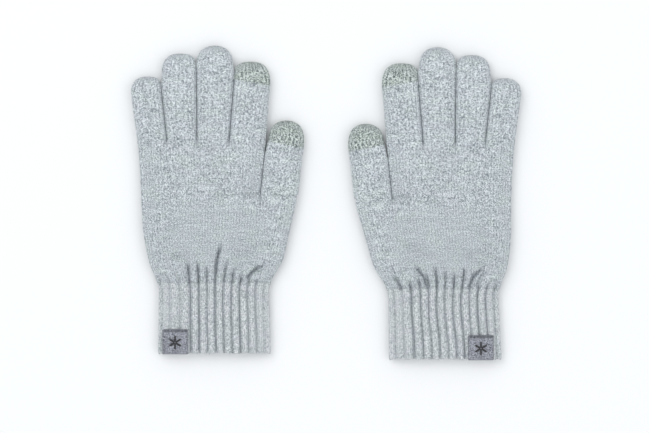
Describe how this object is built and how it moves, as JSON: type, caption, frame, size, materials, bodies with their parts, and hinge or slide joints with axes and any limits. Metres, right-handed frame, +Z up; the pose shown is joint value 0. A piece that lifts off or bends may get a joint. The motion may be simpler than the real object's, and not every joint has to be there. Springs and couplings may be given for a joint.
{
  "type": "touchscreen gloves",
  "caption": "Flat-knitted gloves with ribbed cuffs, conductive caps on thumb and index finger, and a folded label at the hem.",
  "frame": {"origin": "bottom centre of the pair's box, on the surface that the gloves lie on", "axes": "+X across the pair from the left glove to the right one, +Y from the cuffs to the fingertips, +Z up from the surface"},
  "size_m": [0.289, 0.233, 0.0139],
  "materials": {
    "knit": "heathered light grey plain knit",
    "rib_knit": "heathered light grey 2x2 rib",
    "conductive_knit": "greenish grey conductive knit",
    "label_patch": "dark grey woven patch",
    "label_thread": "near-black thread",
    "join_yarn": "grey yarn"
  },
  "bodies": {
    "left_palm": {"left_palm_lower": "knit", "left_palm_upper": "knit", "left_join_stitches": "join_yarn"},
    "left_cuff": {"left_cuff": "rib_knit", "left_cuff_hem": "rib_knit", "left_label": "label_patch", "left_label_emblem": "label_thread", "left_label_stitches": "label_thread"},
    "left_index": {"left_index_finger": "knit", "left_index_touch_tip": "conductive_knit"},
    "left_middle": {"left_middle_finger": "knit"},
    "left_ring": {"left_ring_finger": "knit"},
    "left_little": {"left_little_finger": "knit"},
    "left_thumb": {"left_thumb": "knit", "left_thumb_touch_tip": "conductive_knit"},
    "right_palm": {"right_palm_lower": "knit", "right_palm_upper": "knit", "right_join_stitches": "join_yarn"},
    "right_cuff": {"right_cuff": "rib_knit", "right_cuff_hem": "rib_knit", "right_label": "label_patch", "right_label_emblem": "label_thread", "right_label_stitches": "label_thread"},
    "right_index": {"right_index_finger": "knit", "right_index_touch_tip": "conductive_knit"},
    "right_middle": {"right_middle_finger": "knit"},
    "right_ring": {"right_ring_finger": "knit"},
    "right_little": {"right_little_finger": "knit"},
    "right_thumb": {"right_thumb": "knit", "right_thumb_touch_tip": "conductive_knit"}
  },
  "joints": [
    {"name": "left_wrist_bend", "type": "hinge", "parent": "left_palm", "child": "left_cuff", "pos_m": [-0.08295, -0.05899, 0.0062], "axis": [1, 0, 0], "range_deg": [-45, 45]},
    {"name": "left_index_bend", "type": "hinge", "parent": "left_palm", "child": "left_index", "pos_m": [-0.0581, 0.04701, 0.0124], "axis": [1, 0, 0], "range_deg": [-15, 85]},
    {"name": "left_middle_bend", "type": "hinge", "parent": "left_palm", "child": "left_middle", "pos_m": [-0.0837, 0.04701, 0.0124], "axis": [1, 0, 0], "range_deg": [-15, 85]},
    {"name": "left_ring_bend", "type": "hinge", "parent": "left_palm", "child": "left_ring", "pos_m": [-0.10665, 0.04701, 0.0124], "axis": [1, 0, 0], "range_deg": [-15, 85]},
    {"name": "left_little_bend", "type": "hinge", "parent": "left_palm", "child": "left_little", "pos_m": [-0.12865, 0.04701, 0.0124], "axis": [1, 0, 0], "range_deg": [-15, 85]},
    {"name": "left_thumb_bend", "type": "hinge", "parent": "left_palm", "child": "left_thumb", "pos_m": [-0.03495, 0.00601, 0.0124], "axis": [1, 0, 0], "range_deg": [-15, 70]},
    {"name": "right_wrist_bend", "type": "hinge", "parent": "right_palm", "child": "right_cuff", "pos_m": [0.08645, -0.06339, 0.0062], "axis": [1, 0, 0], "range_deg": [-45, 45]},
    {"name": "right_index_bend", "type": "hinge", "parent": "right_palm", "child": "right_index", "pos_m": [0.0581, 0.04579, 0.0124], "axis": [1, 0, 0], "range_deg": [-15, 85]},
    {"name": "right_middle_bend", "type": "hinge", "parent": "right_palm", "child": "right_middle", "pos_m": [0.0837, 0.04579, 0.0124], "axis": [1, 0, 0], "range_deg": [-15, 85]},
    {"name": "right_ring_bend", "type": "hinge", "parent": "right_palm", "child": "right_ring", "pos_m": [0.10665, 0.04579, 0.0124], "axis": [1, 0, 0], "range_deg": [-15, 85]},
    {"name": "right_little_bend", "type": "hinge", "parent": "right_palm", "child": "right_little", "pos_m": [0.12865, 0.04579, 0.0124], "axis": [1, 0, 0], "range_deg": [-15, 85]},
    {"name": "right_thumb_bend", "type": "hinge", "parent": "right_palm", "child": "right_thumb", "pos_m": [0.035, 0.00356, 0.0124], "axis": [1, 0, 0], "range_deg": [-15, 70]},
    {"name": "pair_spread", "type": "slide", "parent": "left_palm", "child": "right_palm", "axis": [1, 0, 0], "range_m": [-0.02, 0.12]}
  ]
}
